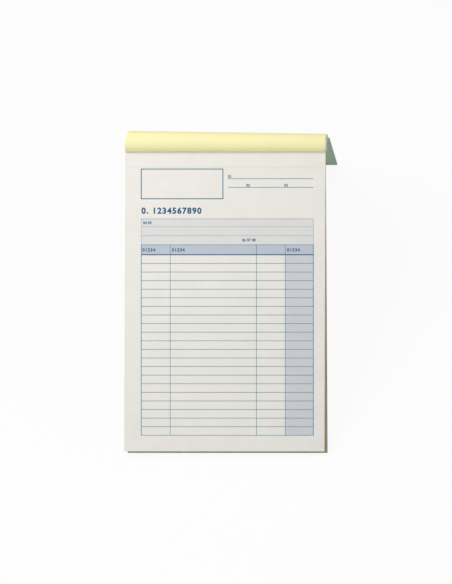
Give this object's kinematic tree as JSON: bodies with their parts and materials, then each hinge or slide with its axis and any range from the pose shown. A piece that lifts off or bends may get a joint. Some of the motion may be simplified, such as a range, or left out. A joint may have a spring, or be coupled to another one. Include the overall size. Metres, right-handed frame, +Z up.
{
  "type": "duplicate notepad",
  "caption": "A5 tear-off duplicate notepad with stapled head, grey board, and cover and used yellow copies turned over as a leg.",
  "frame": {"origin": "on the ground under the middle of the object's bounding box, as it stands open", "axes": "+X across the page to the reader's right, +Y away from the reader, +Z up"},
  "size_m": [0.152, 0.3018, 0.1735],
  "materials": {
    "white_paper": "matte",
    "yellow_paper": "matte",
    "green_card": "matte",
    "grey_board": "matte",
    "binding_tape": "matte",
    "staple_wire": "satin"
  },
  "bodies": {
    "pad": {"backing_board": "grey_board", "unused_sets_1": "white_paper", "unused_sets_2": "white_paper", "unused_sets_3": "white_paper", "unused_sets_4": "white_paper", "unused_sets_5": "white_paper", "current_set_margin": "white_paper", "used_sets_margin": "white_paper", "cover_margin": "green_card", "spine_tape": "binding_tape", "staple_left": "staple_wire", "staple_right": "staple_wire"},
    "used_copies": {"used_copy_roll_1": "yellow_paper", "used_copy_roll_2": "yellow_paper", "used_copy_roll_3": "yellow_paper", "torn_stub_1": "white_paper", "torn_stub_2": "white_paper", "torn_stub_3": "white_paper", "used_copy_1": "yellow_paper", "used_copy_2": "yellow_paper", "used_copy_3": "yellow_paper", "cover_fold": "green_card"},
    "cover": {"cover": "green_card"},
    "bottom_copy": {"bottom_copy": "yellow_paper", "top_copy_stub": "white_paper"},
    "top_copy": {"top_copy": "white_paper"}
  },
  "joints": [
    {"name": "copies_turn", "type": "hinge", "parent": "pad", "child": "used_copies", "pos_m": [0.00055, 0.01442, 0.16533], "axis": [1, 0, 0], "range_deg": [0, 175], "deforming": ["used_copy_roll_1", "used_copy_roll_2", "used_copy_roll_3", "torn_stub_1", "torn_stub_2", "torn_stub_3", "cover_fold"]},
    {"name": "cover_swing", "type": "hinge", "parent": "used_copies", "child": "cover", "pos_m": [0.00055, 0.02371, 0.15885], "axis": [-1, 0, 0], "range_deg": [0, 84.5]},
    {"name": "set_lift", "type": "hinge", "parent": "pad", "child": "bottom_copy", "pos_m": [0.00055, 0.00934, 0.15957], "axis": [-1, 0, 0], "range_deg": [0, 40]},
    {"name": "leaf_lift", "type": "hinge", "parent": "bottom_copy", "child": "top_copy", "pos_m": [0.00055, 0.00134, 0.15195], "axis": [-1, 0, 0], "range_deg": [0, 45]}
  ]
}
